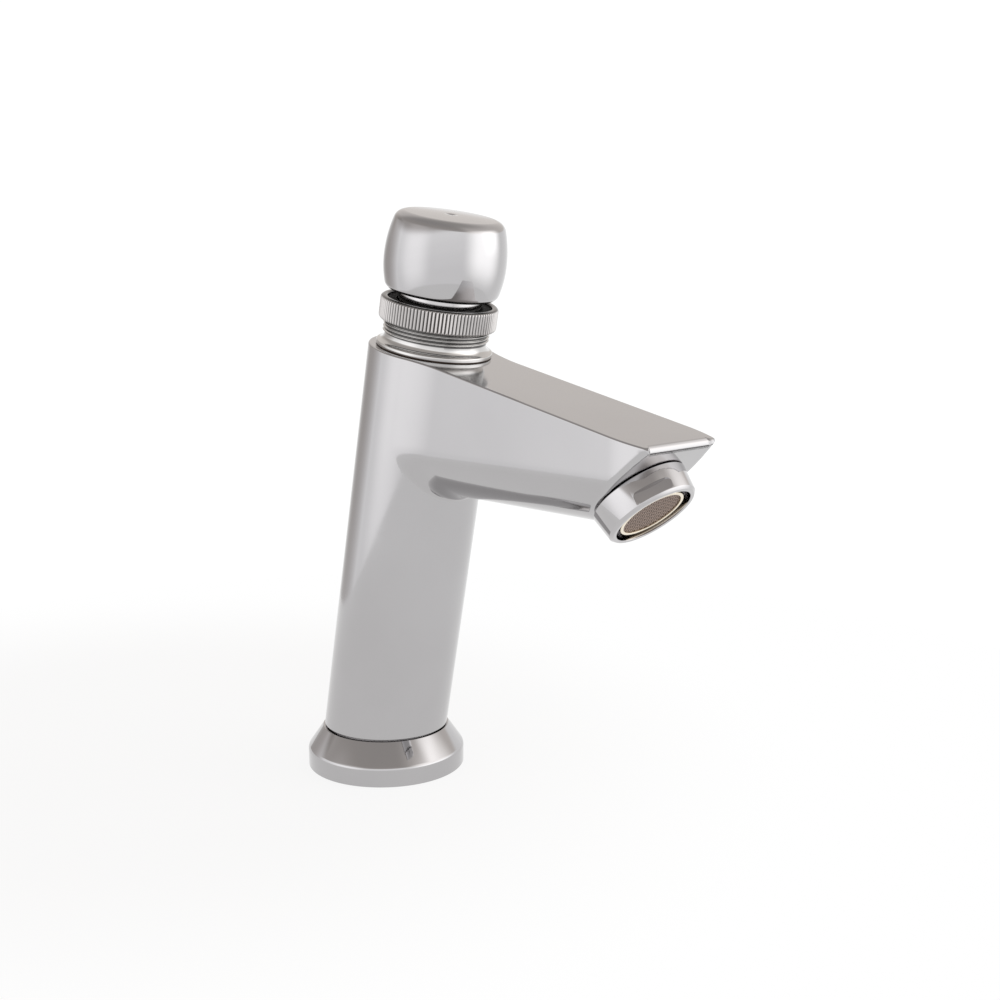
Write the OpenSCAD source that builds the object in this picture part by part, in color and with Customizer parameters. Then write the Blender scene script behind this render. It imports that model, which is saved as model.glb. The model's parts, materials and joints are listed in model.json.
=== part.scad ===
// Push timed basin tap: a leaning column on a base ring, a spout with a level underside,
// a push-button cartridge with a knurled stop ring, and a screwed-in aerator.
// Millimetres, +Z up, origin at the inlet's centre on the basin, +X along the spout.

/* [Column] */
// Lean of the column towards the spout, in degrees
lean = 11.6; // [9:0.1:14]
// Column diameter
column_d = 35; // [34:0.5:38]
// Column length along its axis, from the base ring to the cartridge's seat face
column_len = 110.9; // [109:0.1:116]
// Wall of the hollow column
column_wall = 4.2; // [3.5:0.1:5.5]

/* [Base] */
// Base ring diameter
base_d = 45; // [43:0.5:52]
// Height of the base ring's straight rim
base_rim = 5.6; // [4:0.1:8]
// Height of the base ring
base_h = 12; // [11:0.5:15]
// Diameter of the body's spigot inside the base ring
spigot_d = 28; // [26:0.5:29]
// Inlet socket diameter, for a half-inch pipe thread
inlet_d = 18.6; // [18:0.1:19.2]
// Inlet socket depth
inlet_len = 14; // [13:0.5:18]

/* [Spout] */
// Spout width
spout_w = 28.5; // [27:0.5:31]
// Height of the spout's level underside above the basin
spout_z = 82.5; // [80:0.5:85]
// Distance from the inlet's axis to the spout's front top edge
spout_reach = 107.8; // [103:0.1:114]
// Angle of the outlet below level, in degrees
outlet_angle = 47.6; // [44:0.2:52]
// Distance down the front face from its top edge to the outlet's axis
outlet_drop = 18.5; // [17.5:0.1:19.5]
// Length over which the spout's sides draw in towards its front edge
nose_len = 10.8; // [9:0.1:12.5]
// Radius of the sides where they draw in
nose_round = 30; // [27:0.5:35]
// Radius of the spout's front top edge
tip_round = 1.4; // [1:0.1:1.8]
// Waterway diameter inside the spout
waterway_d = 11; // [9:0.5:12]
// Height of the waterway's centre above the spout's underside
waterway_rise = 12; // [11:0.5:13]

/* [Aerator] */
// Aerator housing diameter
aerator_d = 23.1; // [22.4:0.1:24]
// Length of the aerator housing outside the spout
aerator_len = 7.05; // [6.5:0.05:9]
// Diameter of the aerator's thread
aerator_thread_d = 19.8; // [19.4:0.1:20.4]
// Depth of the aerator's socket in the spout
socket_depth = 7.6; // [7:0.1:8]
// Diameter of the aerator's insert
insert_d = 17.1; // [16.5:0.1:17.3]
// Spacing of the mesh openings
mesh_pitch = 1.5; // [1.2:0.1:2]
// Distance across the housing's two wrench flats
flats_across = 21.3; // [20.8:0.1:21.8]

/* [Cartridge head] */
// Step of the collar's flange beyond its thread
flange_step = 1.2; // [1:0.05:1.8]
// Thickness of the collar's flange
flange_t = 1; // [0.8:0.1:1.6]
// Thickness of the fibre gasket under the flange
gasket_t = 0.4; // [0.3:0.05:0.8]
// Wall of the collar, from the stem to the crest of its thread
collar_wall = 3.1; // [2.9:0.05:3.5]
// Pitch of the collar's thread
thread_pitch = 1; // [0.8:0.1:1.25]
// Wall of the knurled stop ring outside the thread
ring_wall = 1.45; // [1.2:0.05:2.2]
// Height of the knurled stop ring
ring_h = 6.15; // [5.8:0.05:7]
// Height of the ring's underside above the seat face, as set
ring_rise = 7; // [6.6:0.1:7.3]
// Lip of the stop ring's opening, inside the thread
ring_lip = 0.35; // [0.2:0.05:0.5]
// Number of grooves around the stop ring
ring_grooves = 100; // [80:1:110]
// Number of turns that the stop ring can be screwed down
ring_turns = 2; // [1:0.25:2]

/* [Button] */
// Largest diameter of the button
button_d = 32.26; // [31.5:0.02:34]
// Button height
button_h = 20.75; // [19:0.05:23]
// Height of the button's widest line above its lower edge
belly_h = 8.5; // [7.5:0.1:9.5]
// Stem diameter
stem_d = 22.2; // [22:0.1:22.6]
// Travel of the button
stroke = 2; // [1.5:0.1:2.2]

/* [Valve] */
// Diameter of the cartridge's chamber in the column
chamber_d = 22; // [21.5:0.1:22.6]
// Diameter of the valve's opening
orifice_d = 11; // [10:0.2:12]
// Spindle diameter
spindle_d = 5; // [4.5:0.1:5.5]
// Wall of the cartridge's sleeve
sleeve_wall = 1.75; // [1.5:0.05:2]
// Number of coils in the return spring
spring_coils = 4; // [3:0.5:4]
// Wire diameter of the return spring
spring_wire = 1.2; // [1:0.05:1.3]

/* [Clearances] */
// Radial clearance between pieces that are fitted and stay still
fit_gap = 0.05; // [0.02:0.01:0.08]
// Radial clearance between pieces that slide or turn
run_gap = 0.05; // [0.02:0.01:0.08]
// Clearance around pieces that move past each other without touching
free_gap = 0.4; // [0.3:0.05:0.6]

/* [Hidden] */
$fn = 72;

// Reach of the cutting blocks, well past the whole tap
far = 300;
// Overlap of a cut past the face that it opens
cut = 1;

// Outer radii
column_r = column_d / 2;
base_r = base_d / 2;
spigot_r = spigot_d / 2;
inlet_r = inlet_d / 2;
spout_r = spout_w / 2;

// The base ring's top just carries the slanted foot of the column
base_top_r = column_r / cos(lean);
base_edge = 0.5;
base_round = 1.6;
seal_t = 1.6;
seal_in_r = spigot_r + 2.2;
seal_out_r = seal_in_r + 3.4;

// Inlet strainer above the socket
strainer_t = 1.2;
strainer_r = inlet_r - 1;
strainer_hole_r = 0.75;
strainer_rows = 3;
strainer_step = 2.3;
riser_r = 6;

// Spout and outlet
spout_axis_z = spout_z + spout_r;
// The arcs that draw the sides in cross them at a small angle
nose_lead = 0.05;
nose_past = 1;
spout_root_x = (spout_axis_z - base_h) * tan(lean);
tip_z = base_h + (column_len - spout_reach * sin(lean)) / cos(lean);
outlet_x = spout_reach - outlet_drop * sin(outlet_angle);
outlet_z = tip_z - outlet_drop * cos(outlet_angle);
water_z = spout_z + waterway_rise;
water_w = (water_z - base_h) / cos(lean);
water_root_x = (water_z - base_h) * tan(lean);
water_end_x = outlet_x - socket_depth * cos(outlet_angle);

// Aerator radii and stations along the outlet's axis, zero on the front face
aer_r = aerator_d / 2;
aer_thread_r = aerator_thread_d / 2;
aer_socket_r = aer_thread_r + fit_gap;
aer_washer_t = 1.4;
aer_flange_t = 0.8;
aer_flange_r = aer_thread_r - 0.5;
aer_neck_len = 0.5;
aer_neck_r = aer_r - 1.2;
aer_root_r = aer_r + 0.75;
aer_chamfer = 0.7;
aer_seat_a = -socket_depth + aer_washer_t;
aer_body_a = aer_seat_a + aer_flange_t;
insert_r = insert_d / 2;
insert_in_r = insert_r - 1.35;
aer_bore_r = insert_r + fit_gap;
aer_mouth_r = aer_r - 1.65;
aer_mouth_depth = aerator_len - 2.5;
mesh_t = 0.4;
mesh_open = 0.9;
mesh_a = aerator_len - 1.45;
cap_lip_t = 0.4;
cap_r = insert_r - 0.05;
cap_wall = 0.55;
insert_nose_r = cap_r - cap_wall - fit_gap;
cap_skirt = 1.8;
cap_mouth_r = insert_nose_r - 0.25;
diffuser_t = 1.2;
diffuser_holes = 8;
diffuser_hole_r = 1;
diffuser_pcr = insert_in_r - 2.2;
flat_low = 3.6;
flat_h = 2.75;
flat_turn = 216;

// Cartridge stations along the column's axis, zero on the base ring
seat_t = 4;
seat_drop = 10.2;
seat_top_w = water_w - seat_drop;
seat_w = seat_top_w - seat_t;
seat_lip = 0.6;
lip_w = seat_w - seat_lip;
web_t = 2.5;
web_w = water_w + 6;
floor_w = web_w + web_t;
thread_depth = 9.4;
socket_w = column_len - thread_depth;
sleeve_flange_t = 2.5;
sleeve_top_w = socket_w + sleeve_flange_t;
valve_room = 14;
valve_w = seat_w - valve_room;

// Hollow core of the column, between the strainer's shelf and the valve room's floor
core_r = column_r - column_wall;
core_shelf = 2;
core_low_w = (inlet_len + strainer_t + core_shelf - base_h) / cos(lean) + core_r * tan(lean);
core_high_w = valve_w - 2 * core_shelf;

// Cartridge radii
chamber_r = chamber_d / 2;
seat_ledge = 1.2;
valve_r = chamber_r - seat_ledge;
sleeve_r = chamber_r - fit_gap;
sleeve_bore_r = sleeve_r - sleeve_wall;
orifice_r = orifice_d / 2;
seat_lip_r = orifice_r + 0.9;
spindle_r = spindle_d / 2;
guide_r = spindle_r + run_gap;
ring_section = 0.8;
ring_groove_r = sleeve_r + fit_gap / 2 - 2 * ring_section;
window_w = 9.5;
window_low = 5.4;
window_high = 4.8;

// Collar, gasket, bush and wiper
stem_r = stem_d / 2;
thread_r = stem_r + collar_wall;
flange_r = thread_r + flange_step;
thread_deep = 0.55;
flange_w = column_len + gasket_t;
flange_top_w = flange_w + flange_t;
ring_w = column_len + ring_rise;
ring_top_w = ring_w + ring_h;
ring_travel = ring_turns * thread_pitch;
brake_t = 1.15;
ring_lip_t = 0.7;
ring_lip_w = ring_top_w - ring_lip_t;
brake_w = ring_lip_w - brake_t;
collar_top_w = brake_w - ring_travel - 0.1;
collar_bore_r = stem_r + 0.5;
bush_wall = 1.2;
bush_seat_r = stem_r + run_gap + bush_wall + fit_gap;
socket_r = bush_seat_r + 0.6;
collar_spigot_r = socket_r - fit_gap;
bush_w = flange_top_w + 1.3;
wiper_t = 1.6;
wiper_w = collar_top_w - wiper_t;
neck_r = thread_r - thread_deep;
neck_w = flange_top_w + 1.7;
thread_low_w = neck_w + 0.5;
thread_count = floor((collar_top_w - thread_low_w) / thread_pitch);

// Stop ring
ring_r = thread_r + ring_wall;
ring_bore_r = thread_r + run_gap;
ring_mouth_r = thread_r - ring_lip;
ring_round = 0.9;
mouth_round = 0.45;
groove_deep = 0.42;
brake_in_r = stem_r + free_gap;
brake_out_r = ring_bore_r - free_gap;

// Button and stem
button_r = button_d / 2;
upper_arc = 33.9;
lower_arc = 25.7;
crown_round = 3;
crown_rise = 0.25;
skirt_round = 2.2;
nest = 0.1;
button_w = ring_top_w + stroke - nest;
button_top_w = button_w + button_h;
stem_low_w = bush_w - 0.3;
crown_t = 6.7;
stem_top_w = button_top_w - crown_t;
stem_wall = 1.8;
stem_in_r = stem_r - stem_wall;
stem_web = 3;
cap_room = 3.2;
cap_room_r = stem_r - 1.6;
dimple_r = 2.2;
dimple_deep = 0.42;

// Spindle, piston and valve washer
nut_t = 3;
nut_af = 8;
shoulder_r = spindle_r + 1;
spindle_top_w = stem_low_w + stem_web + nut_t + 1;
stem_shoulder_t = 1.5;
piston_h = 5;
piston_w = floor_w + stroke + 1.6;
piston_r = sleeve_bore_r - free_gap;
piston_shoulder_t = 1.5;
piston_seal_r = 1.08;
piston_seal_mid = sleeve_bore_r - run_gap - piston_seal_r;
clip_t = 0.8;
clip_groove = 0.5;
clip_r = spindle_r + 2;
washer_t = 3;
washer_r = seat_lip_r + 0.5;
cup_wall = 0.95;
cup_floor = 1.2;
cup_r = washer_r + fit_gap + cup_wall;
washer_w = lip_w - washer_t;
cup_w = washer_w - cup_floor;
cup_rim = 2.2;
washer_nut_w = cup_w - nut_t;
spindle_low_w = washer_nut_w - 0.8;
bleed_r = 1.2;
bleed_head_r = 2;
bleed_head_t = 0.8;
bleed_inset = 3;
bleed_pcr = sleeve_bore_r - bleed_inset;
bleed_bore_r = 0.35;
bleed_slot = 0.5;

// Return spring
spring_low_w = sleeve_top_w;
spring_len = stem_low_w - sleeve_top_w;
spring_mid_r = stem_r - stem_wall / 2;
coil_rings = 8;
coil_sides = 6;

// Points along an arc, from one angle to another
function arc(cx, cy, r, a0, a1, n) = [for (i = [0:n]) let (a = a0 + (a1 - a0) * i / n) [cx + r * cos(a), cy + r * sin(a)]];

// Everything on the leaning column's axis
module on_axis() {
    translate([0, 0, base_h]) rotate([0, lean, 0]) children();
}

// Everything on the outlet's axis, pointing out of the front face
module on_outlet() {
    translate([outlet_x, 0, outlet_z]) rotate([0, 90 + outlet_angle, 0]) children();
}

// A plain tube standing on its lower end
module tube(outer, inner, low, high) {
    translate([0, 0, low]) difference() {
        cylinder(r = outer, h = high - low);
        translate([0, 0, -cut]) cylinder(r = inner, h = high - low + 2 * cut);
    }
}

// A plain round bore between two stations
module bore(r, low, high) {
    translate([0, 0, low]) cylinder(r = r, h = high - low);
}

// A rubber ring of round section
module o_ring(mid_r, section, w) {
    translate([0, 0, w]) rotate_extrude() translate([mid_r, 0]) circle(r = section, $fn = 24);
}

// A ring groove of square section cut from outside
module ring_groove(bottom_r, height, w) {
    difference() {
        translate([0, 0, w - height / 2]) cylinder(r = far / 4, h = height);
        translate([0, 0, w - height / 2 - cut]) cylinder(r = bottom_r, h = height + 2 * cut);
    }
}

// A hexagon nut on a spindle
module hex_nut(across, hole_r, low, height) {
    translate([0, 0, low]) difference() {
        cylinder(r = across / sqrt(3), h = height, $fn = 6);
        translate([0, 0, -cut]) cylinder(r = hole_r, h = height + 2 * cut);
    }
}

// Base ring: straight rim, sloping shoulder and a groove for its seal
module base_ring() {
    color([0.78, 0.77, 0.77]) difference() {
        rotate_extrude() polygon(concat(
            [[spigot_r + fit_gap, 0], [base_r - base_edge, 0], [base_r, base_edge]],
            arc(base_r - base_round, base_rim - base_round / 2, base_round, 0, 40, 6),
            [[base_top_r, base_h], [spigot_r + fit_gap, base_h]]));
        tube(seal_out_r + fit_gap, seal_in_r - fit_gap, -cut, seal_t);
    }
}

// Flat seal in the underside of the base ring
module base_seal() {
    color([0.12, 0.12, 0.12]) tube(seal_out_r, seal_in_r, 0, seal_t);
}

// Side view of the spout's end: the sloping top, its rounded front edge and the front face
function side_outline() =
    let (back = tip_round / (1 - sin(outlet_angle - lean)))
    let (cx = spout_reach - back * (sin(lean) + cos(outlet_angle)))
    let (cz = tip_z - back * (cos(lean) - sin(outlet_angle)))
    concat(
        [[spout_reach - far * cos(lean), tip_z + far * sin(lean)]],
        arc(cx, cz, tip_round, 90 - lean, -outlet_angle, 6),
        [[spout_reach - far * sin(outlet_angle), tip_z - far * cos(outlet_angle)]]);

// The spout seen from above: straight sides that draw in to the front edge
function plan_outline() =
    let (cx = spout_reach - nose_len, cy = spout_r + nose_lead - nose_round)
    let (turn = asin((nose_len + nose_past) / nose_round))
    concat(
        [[-far, cy + nose_round]],
        arc(cx, cy, nose_round, 90, 90 - turn, 8),
        arc(cx, -cy, nose_round, turn - 90, -90, 8),
        [[-far, -cy - nose_round]]);

// Outside of the body: leaning column, spout and spigot
module body_outside() {
    intersection() {
        on_axis() translate([0, 0, -column_r]) cylinder(r = column_r, h = column_len + column_r);
        translate([-far / 2, -far / 2, base_h]) cube(far);
    }
    intersection() {
        union() {
            translate([spout_root_x, 0, spout_axis_z]) rotate([0, 90, 0]) cylinder(r = spout_r, h = spout_reach);
            translate([spout_root_x, -spout_r, spout_axis_z]) cube([spout_reach, spout_w, column_len]);
        }
        rotate([90, 0, 0]) linear_extrude(height = 2 * spout_w, center = true) polygon(side_outline());
        linear_extrude(height = far) polygon(plan_outline());
    }
    cylinder(r = spigot_r, h = base_h + cut);
}

// Body: column and spout in one casting, with the waterways and the cartridge's chamber
module tap_body() {
    color([0.8, 0.79, 0.8]) difference() {
        body_outside();
        bore(inlet_r, -cut, inlet_len);
        bore(strainer_r + fit_gap, inlet_len - cut, inlet_len + strainer_t);
        on_axis() {
            bore(riser_r, 0, valve_w + cut);
            bore(core_r, core_low_w, core_high_w);
            bore(valve_r, valve_w, seat_w + cut);
            bore(chamber_r, seat_w, socket_w + cut);
            bore(socket_r, socket_w, column_len + cut);
        }
        translate([water_root_x, 0, water_z]) rotate([0, 90, 0]) bore(waterway_d / 2, 0, water_end_x - water_root_x);
        on_outlet() bore(aer_socket_r, -socket_depth, cut);
    }
}

// Perforated strainer above the inlet socket
module inlet_strainer() {
    color([0.7, 0.7, 0.68]) difference() {
        bore(strainer_r, inlet_len, inlet_len + strainer_t);
        bore(strainer_hole_r, inlet_len - cut, inlet_len + strainer_t + cut);
        for (row = [1:strainer_rows]) for (k = [0:6 * row - 1])
            rotate([0, 0, k * 60 / row]) translate([row * strainer_step, 0, 0])
                bore(strainer_hole_r, inlet_len - cut, inlet_len + strainer_t + cut);
    }
}

// Valve seat ring with a lip facing down and a groove for its ring
module valve_seat() {
    color([0.8, 0.66, 0.36]) on_axis() difference() {
        union() {
            bore(sleeve_r, seat_w, seat_top_w);
            bore(seat_lip_r, lip_w, seat_w + cut);
        }
        bore(orifice_r, lip_w - cut, seat_top_w + cut);
        ring_groove(ring_groove_r, 2 * ring_section + fit_gap, seat_w + seat_t / 2);
    }
}

// Rubber ring around the valve seat
module seat_o_ring() {
    color([0.1, 0.1, 0.1]) on_axis() o_ring(ring_groove_r + ring_section, ring_section, seat_w + seat_t / 2);
}

// Cartridge sleeve: windows to the spout below, dashpot cylinder above, flange on top
module cartridge_sleeve() {
    color([0.8, 0.66, 0.36]) on_axis() difference() {
        union() {
            bore(sleeve_r, seat_top_w, sleeve_top_w);
            bore(socket_r - fit_gap, socket_w, sleeve_top_w);
        }
        bore(sleeve_bore_r, seat_top_w - cut, web_w);
        bore(sleeve_bore_r, floor_w, sleeve_top_w + cut);
        bore(guide_r, web_w - cut, floor_w + cut);
        for (k = [0:3]) rotate([0, 0, 90 * k])
            translate([0, -window_w / 2, water_w - window_low]) cube([2 * sleeve_r, window_w, window_low + window_high]);
        ring_groove(ring_groove_r, 2 * ring_section + fit_gap, web_w + web_t / 2);
        translate([bleed_pcr, 0, 0]) {
            bore(bleed_r + fit_gap, web_w - cut, floor_w + cut);
            bore(bleed_head_r + fit_gap, floor_w - bleed_head_t, floor_w + cut);
        }
    }
}

// Rubber ring around the sleeve
module sleeve_o_ring() {
    color([0.1, 0.1, 0.1]) on_axis() o_ring(ring_groove_r + ring_section, ring_section, web_w + web_t / 2);
}

// Slotted bleed screw that sets how slowly the dashpot refills
module bleed_screw() {
    color([0.75, 0.62, 0.34]) on_axis() translate([bleed_pcr, 0, 0]) difference() {
        union() {
            bore(bleed_r, web_w, floor_w);
            bore(bleed_head_r, floor_w - bleed_head_t, floor_w);
        }
        bore(bleed_bore_r, web_w - cut, floor_w + cut);
        translate([-2 * bleed_head_r, -bleed_slot / 2, floor_w - bleed_slot]) cube([4 * bleed_head_r, bleed_slot, cut]);
    }
}

// Return spring: one wire from the sleeve's top to the stem's foot
module return_spring() {
    rings = spring_coils * coil_rings;
    rise = spring_len - spring_wire;
    wire_r = spring_wire / 2;
    echo(spring_gap = rise / spring_coils - spring_wire);
    points = [for (i = [0:rings]) for (j = [0:coil_sides - 1])
        let (turn = 360 * i / coil_rings, side = 30 + 360 * j / coil_sides)
        let (r = spring_mid_r + wire_r * cos(side), h = wire_r + rise * i / rings + wire_r * sin(side))
        [r * cos(turn), r * sin(turn), spring_low_w + h]];
    skin = [for (i = [0:rings - 1]) for (j = [0:coil_sides - 1])
        let (k = (j + 1) % coil_sides, a = i * coil_sides, b = a + coil_sides)
        [a + j, a + k, b + k, b + j]];
    first = [for (j = [0:coil_sides - 1]) coil_sides - 1 - j];
    last = [for (j = [0:coil_sides - 1]) rings * coil_sides + j];
    color([0.7, 0.7, 0.72]) on_axis() polyhedron(points, concat(skin, [first, last]));
}

// Fibre gasket under the collar's flange
module collar_gasket() {
    color([0.33, 0.2, 0.12]) on_axis() tube(flange_r - 0.3, socket_r + fit_gap, column_len, flange_w);
}

// Outline of the collar's thread, one ridge to a turn
function ridges() = [for (k = [0:thread_count - 1])
    for (q = [[neck_r, 0], [thread_r, 0.4], [thread_r, 0.6], [neck_r, 1]])
        [q[0], thread_low_w + (k + q[1]) * thread_pitch]];

// Cartridge collar: screwed spigot, flange, hollow neck and thread for the stop ring
module cartridge_collar() {
    color([0.8, 0.79, 0.78]) on_axis() rotate_extrude() polygon(concat(
        [[collar_bore_r, sleeve_top_w], [collar_spigot_r, sleeve_top_w], [collar_spigot_r, flange_w],
         [flange_r - 0.15, flange_w], [flange_r, flange_w + 0.15], [flange_r, flange_top_w - 0.3],
         [flange_r - 0.3, flange_top_w]],
        arc(flange_r - 0.1, neck_w, neck_w - flange_top_w, 250, 185, 5),
        [[neck_r, neck_w]],
        ridges(),
        [[neck_r, collar_top_w], [bush_seat_r, collar_top_w], [bush_seat_r, bush_w], [collar_bore_r, bush_w]]));
}

// Guide bush for the stem
module guide_bush() {
    color([0.86, 0.85, 0.8]) on_axis() tube(bush_seat_r - fit_gap, stem_r + run_gap, bush_w, wiper_w);
}

// Rubber wiper above the bush
module stem_wiper() {
    color([0.1, 0.1, 0.1]) on_axis() tube(bush_seat_r - fit_gap, stem_r + run_gap, wiper_w, collar_top_w);
}

// Rubber washer at the bottom of the aerator's socket
module aerator_washer() {
    color([0.1, 0.1, 0.1]) on_outlet() tube(aer_flange_r, insert_in_r - 0.7, -socket_depth, aer_seat_a);
}

// Aerator insert: flange, diffuser plate and a nose for the mesh
module aerator_insert() {
    color([0.62, 0.62, 0.6]) on_outlet() difference() {
        union() {
            bore(aer_flange_r, aer_seat_a, aer_body_a);
            bore(insert_r, aer_seat_a, mesh_a - cap_skirt);
            bore(insert_nose_r, aer_seat_a, mesh_a);
        }
        bore(insert_in_r, aer_seat_a + diffuser_t, mesh_a + cut);
        for (k = [0:diffuser_holes - 1]) rotate([0, 0, k * 360 / diffuser_holes])
            translate([diffuser_pcr, 0, 0]) bore(diffuser_hole_r, aer_seat_a - cut, mesh_a);
    }
}

// Aerator housing: thread, dark neck line, slightly tapered collar with two wrench flats
module aerator_housing() {
    color([0.82, 0.81, 0.82]) on_outlet() difference() {
        rotate_extrude() polygon([
            [aer_bore_r, aer_body_a], [aer_thread_r - 0.4, aer_body_a], [aer_thread_r, aer_body_a + 0.4],
            [aer_thread_r, 0], [aer_neck_r, 0], [aer_neck_r, aer_neck_len], [aer_root_r - 0.15, aer_neck_len],
            [aer_root_r, aer_neck_len + 0.15], [aer_r, aerator_len - aer_chamfer],
            [aer_r - aer_chamfer, aerator_len], [aer_mouth_r + 0.15, aerator_len],
            [aer_mouth_r, aerator_len - 0.15], [aer_mouth_r, aerator_len - aer_mouth_depth],
            [aer_bore_r, aerator_len - aer_mouth_depth]]);
        for (side = [0, 180]) rotate([0, 0, flat_turn + side])
            translate([flats_across / 2, -aer_r, aerator_len - flat_low]) cube([aer_root_r, aerator_d, flat_h]);
    }
}

// Mesh disc clamped on the insert's nose
module aerator_mesh() {
    count = floor((insert_nose_r - mesh_open) / mesh_pitch);
    color([0.45, 0.38, 0.34]) on_outlet() difference() {
        bore(insert_nose_r, mesh_a, mesh_a + mesh_t);
        for (i = [-count:count]) for (j = [-count:count])
            if (norm([i, j]) * mesh_pitch < cap_mouth_r - mesh_open)
                translate([i * mesh_pitch - mesh_open / 2, j * mesh_pitch - mesh_open / 2, mesh_a - cut])
                    cube([mesh_open, mesh_open, mesh_t + 2 * cut]);
    }
}

// Brass cap ring that holds the mesh
module aerator_ring() {
    color([0.85, 0.74, 0.52]) on_outlet() rotate_extrude() polygon([
        [insert_nose_r + fit_gap, mesh_a - cap_skirt], [cap_r, mesh_a - cap_skirt],
        [cap_r, mesh_a + mesh_t + cap_lip_t - 0.2], [cap_r - 0.2, mesh_a + mesh_t + cap_lip_t],
        [cap_mouth_r, mesh_a + mesh_t + cap_lip_t], [cap_mouth_r, mesh_a + mesh_t],
        [insert_nose_r + fit_gap, mesh_a + mesh_t]]);
}

// Friction ring that rides under the stop ring's lip
module ring_brake() {
    color([0.06, 0.06, 0.06]) on_axis() tube(brake_out_r, brake_in_r, brake_w, ring_lip_w);
}

// Knurled stop ring on the collar's thread
module knurled_ring() {
    color([0.76, 0.74, 0.73]) on_axis() difference() {
        rotate_extrude() polygon(concat(
            arc(ring_bore_r + mouth_round, ring_w + mouth_round, mouth_round, 180, 270, 3),
            arc(ring_r - ring_round, ring_w + ring_round, ring_round, 270, 360, 5),
            arc(ring_r - ring_round, ring_top_w - ring_round, ring_round, 0, 90, 5),
            arc(ring_mouth_r + mouth_round, ring_top_w - mouth_round, mouth_round, 90, 180, 4),
            [[ring_mouth_r, ring_lip_w], [ring_bore_r, ring_lip_w]]));
        for (k = [0:ring_grooves - 1]) rotate([0, 0, k * 360 / ring_grooves])
            translate([ring_r + groove_deep, 0, ring_w - cut]) rotate([0, 0, 45])
                translate([-groove_deep * sqrt(2), -groove_deep * sqrt(2), 0])
                    cube([2 * groove_deep * sqrt(2), 2 * groove_deep * sqrt(2), ring_h + 2 * cut]);
    }
}

// Half outline of the button, from its lower edge up to the crown
function button_outline() =
    let (low_x = button_r - lower_arc, up_x = button_r - upper_arc)
    let (skirt_a = asin((skirt_round - belly_h) / (lower_arc - skirt_round)))
    let (skirt_x = low_x + (lower_arc - skirt_round) * cos(skirt_a))
    let (crown_y = button_h - crown_rise - crown_round)
    let (crown_a = asin((crown_y - belly_h) / (upper_arc - crown_round)))
    let (crown_x = up_x + (upper_arc - crown_round) * cos(crown_a))
    let (dome = (crown_x * crown_x + crown_rise * crown_rise) / (2 * crown_rise))
    concat(
        arc(skirt_x, skirt_round, skirt_round, -90, skirt_a, 8),
        arc(low_x, belly_h, lower_arc, skirt_a * 0.75, 0, 6),
        arc(up_x, belly_h, upper_arc, crown_a * 0.15, crown_a * 0.9, 8),
        arc(crown_x, crown_y, crown_round, crown_a, 90, 9),
        [for (i = [1:4]) let (x = crown_x * (1 - i / 5)) [x, button_h - dome + sqrt(dome * dome - x * x)]],
        [[0, button_h]]);

// Push button: barrel-shaped cap with a slightly domed top and a small dimple
module push_button() {
    color([0.82, 0.81, 0.82]) on_axis() translate([0, 0, button_w]) difference() {
        rotate_extrude() polygon(concat([[0, 0]], button_outline()));
        bore(stem_r + fit_gap, -cut, stem_top_w - button_w);
        bore(cap_room_r, -cut, stem_top_w - button_w + cap_room);
        translate([0, 0, button_h + dimple_r - dimple_deep]) sphere(r = dimple_r, $fn = 32);
    }
}

// Stem: tube that carries the button, closed by a web at its foot
module button_stem() {
    color([0.78, 0.77, 0.77]) on_axis() difference() {
        bore(stem_r, stem_low_w, stem_top_w);
        bore(stem_in_r, stem_low_w + stem_web, stem_top_w + cut);
        bore(spindle_r + fit_gap, stem_low_w - cut, stem_low_w + stem_web + cut);
    }
}

// Nut that clamps the spindle to the stem's web
module stem_nut() {
    color([0.7, 0.7, 0.7]) on_axis() hex_nut(nut_af, spindle_r + fit_gap, stem_low_w + stem_web, nut_t);
}

// Spindle from the stem down to the valve washer
module spindle() {
    color([0.72, 0.72, 0.73]) on_axis() difference() {
        union() {
            bore(spindle_r, spindle_low_w, spindle_top_w);
            bore(shoulder_r, stem_low_w - stem_shoulder_t, stem_low_w);
            bore(shoulder_r, piston_w + piston_h, piston_w + piston_h + piston_shoulder_t);
            bore(shoulder_r, lip_w, lip_w + cut);
        }
        ring_groove(spindle_r - clip_groove, clip_t, piston_w - clip_t / 2);
    }
}

// Dashpot piston with a groove for its ring
module piston() {
    color([0.9, 0.89, 0.85]) on_axis() difference() {
        bore(piston_r, piston_w, piston_w + piston_h);
        bore(spindle_r + fit_gap, piston_w - cut, piston_w + piston_h + cut);
        ring_groove(piston_seal_mid - piston_seal_r, 2 * piston_seal_r + fit_gap, piston_w + piston_h / 2);
    }
}

// Rubber ring on the piston
module piston_seal() {
    color([0.1, 0.1, 0.1]) on_axis() o_ring(piston_seal_mid, piston_seal_r, piston_w + piston_h / 2);
}

// Open clip under the piston
module piston_clip() {
    color([0.5, 0.5, 0.52]) on_axis() difference() {
        tube(clip_r, spindle_r - clip_groove + fit_gap, piston_w - clip_t, piston_w);
        translate([0, -spindle_r * 0.6, piston_w - clip_t - cut]) cube([2 * clip_r, spindle_r * 1.2, clip_t + 2 * cut]);
    }
}

// Brass cup around the valve washer
module washer_cup() {
    color([0.8, 0.66, 0.36]) on_axis() difference() {
        bore(cup_r, cup_w, washer_w + cup_rim);
        bore(washer_r + fit_gap, washer_w, washer_w + washer_t);
        bore(spindle_r + fit_gap, cup_w - cut, washer_w + cut);
    }
}

// Rubber washer that closes against the seat's lip from below
module valve_washer() {
    color([0.1, 0.1, 0.1]) on_axis() tube(washer_r, spindle_r + fit_gap, washer_w, lip_w);
}

// Nut at the foot of the spindle
module washer_nut() {
    color([0.8, 0.66, 0.36]) on_axis() hex_nut(nut_af, spindle_r + fit_gap, washer_nut_w, nut_t);
}

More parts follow.
